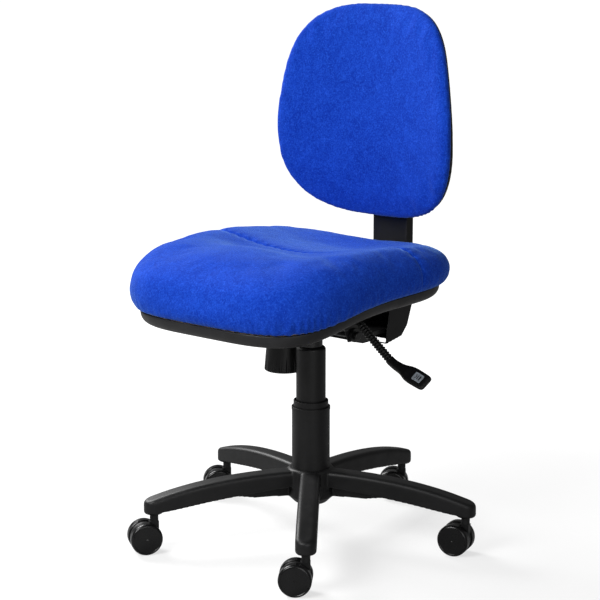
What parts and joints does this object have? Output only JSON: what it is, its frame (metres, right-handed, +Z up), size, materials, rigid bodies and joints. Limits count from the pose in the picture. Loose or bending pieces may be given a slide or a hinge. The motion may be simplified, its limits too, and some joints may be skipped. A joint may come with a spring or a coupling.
{
  "type": "swivel office chair",
  "caption": "Upholstered task chair on a castor star base with gas height adjustment, reclining back, tilting seat and adjustable backrest height.",
  "frame": {"origin": "floor level on the column axis", "axes": "+Z up, -Y towards the front edge of the seat, +X towards the sitter's left"},
  "size_m": [0.6467, 0.646, 1.006],
  "materials": {
    "black_nylon": "fine grained, matt",
    "gloss_nylon": "smooth, satin gloss",
    "blue_fabric": "short brushed pile, royal blue",
    "plywood": "raw moulded plywood",
    "black_steel": "black powder coat",
    "bright_steel": "zinc plated",
    "black_sleeve": "ribbed, matt"
  },
  "bodies": {
    "base": {"star_base": "black_nylon", "column_tube": "black_steel", "column_bush": "black_nylon", "thrust_bearing": "bright_steel", "lower_cover": "black_nylon"},
    "cover": {"middle_cover": "black_nylon"},
    "swivel": {"piston_rod": "bright_steel", "rod_clip": "bright_steel"},
    "lift": {"gas_cylinder": "black_steel", "upper_cover": "black_nylon", "mechanism_housing": "black_steel", "pivot_pins": "black_steel", "tension_spring": "black_steel"},
    "tension": {"tension_knob": "black_nylon", "tension_bolt": "bright_steel"},
    "release": {"release_button": "bright_steel"},
    "gas_lever": {"gas_lever_rod": "black_steel", "gas_lever_handle": "black_nylon"},
    "lock_lever": {"lock_lever_rod": "black_steel", "lock_lever_sleeve": "black_sleeve", "lock_lever_handle": "black_nylon"},
    "seat": {"seat_plate": "black_steel", "seat_board": "plywood", "seat_pan": "black_nylon", "seat_cushion": "blue_fabric", "seat_bolts": "bright_steel"},
    "back_arm": {"back_bar": "black_steel", "back_bar_cover": "black_nylon"},
    "backrest": {"ratchet_carrier": "black_nylon", "back_board": "plywood", "back_shell": "black_nylon", "back_cushion": "blue_fabric", "back_screws": "bright_steel"},
    "caster_1": {"caster_1_hood": "black_nylon", "caster_1_stem": "bright_steel", "caster_1_axle": "bright_steel"},
    "caster_1_wheel_a": {"caster_1_wheel_a": "gloss_nylon"},
    "caster_1_wheel_b": {"caster_1_wheel_b": "gloss_nylon"},
    "caster_2": {"caster_2_hood": "black_nylon", "caster_2_stem": "bright_steel", "caster_2_axle": "bright_steel"},
    "caster_2_wheel_a": {"caster_2_wheel_a": "gloss_nylon"},
    "caster_2_wheel_b": {"caster_2_wheel_b": "gloss_nylon"},
    "caster_3": {"caster_3_hood": "black_nylon", "caster_3_stem": "bright_steel", "caster_3_axle": "bright_steel"},
    "caster_3_wheel_a": {"caster_3_wheel_a": "gloss_nylon"},
    "caster_3_wheel_b": {"caster_3_wheel_b": "gloss_nylon"},
    "caster_4": {"caster_4_hood": "black_nylon", "caster_4_stem": "bright_steel", "caster_4_axle": "bright_steel"},
    "caster_4_wheel_a": {"caster_4_wheel_a": "gloss_nylon"},
    "caster_4_wheel_b": {"caster_4_wheel_b": "gloss_nylon"},
    "caster_5": {"caster_5_hood": "black_nylon", "caster_5_stem": "bright_steel", "caster_5_axle": "bright_steel"},
    "caster_5_wheel_a": {"caster_5_wheel_a": "gloss_nylon"},
    "caster_5_wheel_b": {"caster_5_wheel_b": "gloss_nylon"}
  },
  "joints": [
    {"name": "cover_slide", "type": "slide", "parent": "base", "child": "cover", "axis": [0, 0, 1], "range_m": [0, 0.04]},
    {"name": "seat_swivel", "type": "hinge", "parent": "base", "child": "swivel", "pos_m": [0, 0, 0.07], "axis": [0, 0, 1], "continuous": true},
    {"name": "seat_height", "type": "slide", "parent": "swivel", "child": "lift", "axis": [0, 0, 1], "range_m": [-0.09, 0.005]},
    {"name": "tension_turn", "type": "hinge", "parent": "lift", "child": "tension", "pos_m": [-0.078, 0.013, 0.34], "axis": [0, 0, 1], "range_deg": [-1080, 1080]},
    {"name": "gas_lever_lift", "type": "hinge", "parent": "lift", "child": "gas_lever", "pos_m": [-0.042, -0.032, 0.429], "axis": [0, 1, 0], "range_deg": [0, 8], "stiffness_Nm_per_rad": 6, "springref_deg": -6.88},
    {"name": "release_push", "type": "slide", "parent": "lift", "child": "release", "axis": [0, 0, 1], "range_m": [-0.0052, 0]},
    {"name": "lock_lever_lift", "type": "hinge", "parent": "lift", "child": "lock_lever", "pos_m": [0.042, 0.06, 0.42], "axis": [0, -1, 0], "range_deg": [0, 12], "stiffness_Nm_per_rad": 6, "springref_deg": -6.88},
    {"name": "seat_tilt", "type": "hinge", "parent": "lift", "child": "seat", "pos_m": [0, 0.03, 0.415], "axis": [-1, 0, 0], "range_deg": [0, 7.4]},
    {"name": "back_recline", "type": "hinge", "parent": "lift", "child": "back_arm", "pos_m": [0, 0.066, 0.391], "axis": [-1, 0, 0], "range_deg": [0, 18], "stiffness_Nm_per_rad": 60, "springref_deg": -20.05},
    {"name": "back_height", "type": "slide", "parent": "back_arm", "child": "backrest", "axis": [0, 0, 1], "range_m": [0, 0.06]},
    {"name": "caster_1_swivel", "type": "hinge", "parent": "base", "child": "caster_1", "pos_m": [0.28587, 0.10631, 0.05], "axis": [0, 0, 1], "continuous": true},
    {"name": "caster_1_wheel_a_roll", "type": "hinge", "parent": "caster_1", "child": "caster_1_wheel_a", "pos_m": [0.26848, 0.10166, 0.03], "axis": [0.2588, -0.9659, 0], "continuous": true},
    {"name": "caster_1_wheel_b_roll", "type": "hinge", "parent": "caster_1", "child": "caster_1_wheel_b", "pos_m": [0.26848, 0.10166, 0.03], "axis": [0.2588, -0.9659, 0], "continuous": true},
    {"name": "caster_2_swivel", "type": "hinge", "parent": "base", "child": "caster_2", "pos_m": [-0.01277, 0.30473, 0.05], "axis": [0, 0, 1], "continuous": true},
    {"name": "caster_2_wheel_a_roll", "type": "hinge", "parent": "caster_2", "child": "caster_2_wheel_a", "pos_m": [-0.02836, 0.29573, 0.03], "axis": [0.5, -0.866, 0], "continuous": true},
    {"name": "caster_2_wheel_b_roll", "type": "hinge", "parent": "caster_2", "child": "caster_2_wheel_b", "pos_m": [-0.02836, 0.29573, 0.03], "axis": [0.5, -0.866, 0], "continuous": true},
    {"name": "caster_3_swivel", "type": "hinge", "parent": "base", "child": "caster_3", "pos_m": [-0.29376, 0.08202, 0.05], "axis": [0, 0, 1], "continuous": true},
    {"name": "caster_3_wheel_a_roll", "type": "hinge", "parent": "caster_3", "child": "caster_3_wheel_a", "pos_m": [-0.30581, 0.06864, 0.03], "axis": [0.7431, -0.6691, 0], "continuous": true},
    {"name": "caster_3_wheel_b_roll", "type": "hinge", "parent": "caster_3", "child": "caster_3_wheel_b", "pos_m": [-0.30581, 0.06864, 0.03], "axis": [0.7431, -0.6691, 0], "continuous": true},
    {"name": "caster_4_swivel", "type": "hinge", "parent": "base", "child": "caster_4", "pos_m": [-0.16878, -0.25404, 0.05], "axis": [0, 0, 1], "continuous": true},
    {"name": "caster_4_wheel_a_roll", "type": "hinge", "parent": "caster_4", "child": "caster_4_wheel_a", "pos_m": [-0.17859, -0.26914, 0.03], "axis": [0.8387, -0.5446, 0], "continuous": true},
    {"name": "caster_4_wheel_b_roll", "type": "hinge", "parent": "caster_4", "child": "caster_4_wheel_b", "pos_m": [-0.17859, -0.26914, 0.03], "axis": [0.8387, -0.5446, 0], "continuous": true},
    {"name": "caster_5_swivel", "type": "hinge", "parent": "base", "child": "caster_5", "pos_m": [0.18945, -0.23903, 0.05], "axis": [0, 0, 1], "continuous": true},
    {"name": "caster_5_wheel_a_roll", "type": "hinge", "parent": "caster_5", "child": "caster_5_wheel_a", "pos_m": [0.17489, -0.24961, 0.03], "axis": [0.5878, -0.809, 0], "continuous": true},
    {"name": "caster_5_wheel_b_roll", "type": "hinge", "parent": "caster_5", "child": "caster_5_wheel_b", "pos_m": [0.17489, -0.24961, 0.03], "axis": [0.5878, -0.809, 0], "continuous": true}
  ],
  "couplings": [
    {"joint": "release_push", "follows": "gas_lever_lift", "m_per_rad": -0.0358},
    {"joint": "seat_tilt", "follows": "back_recline", "ratio": 0.4}
  ]
}
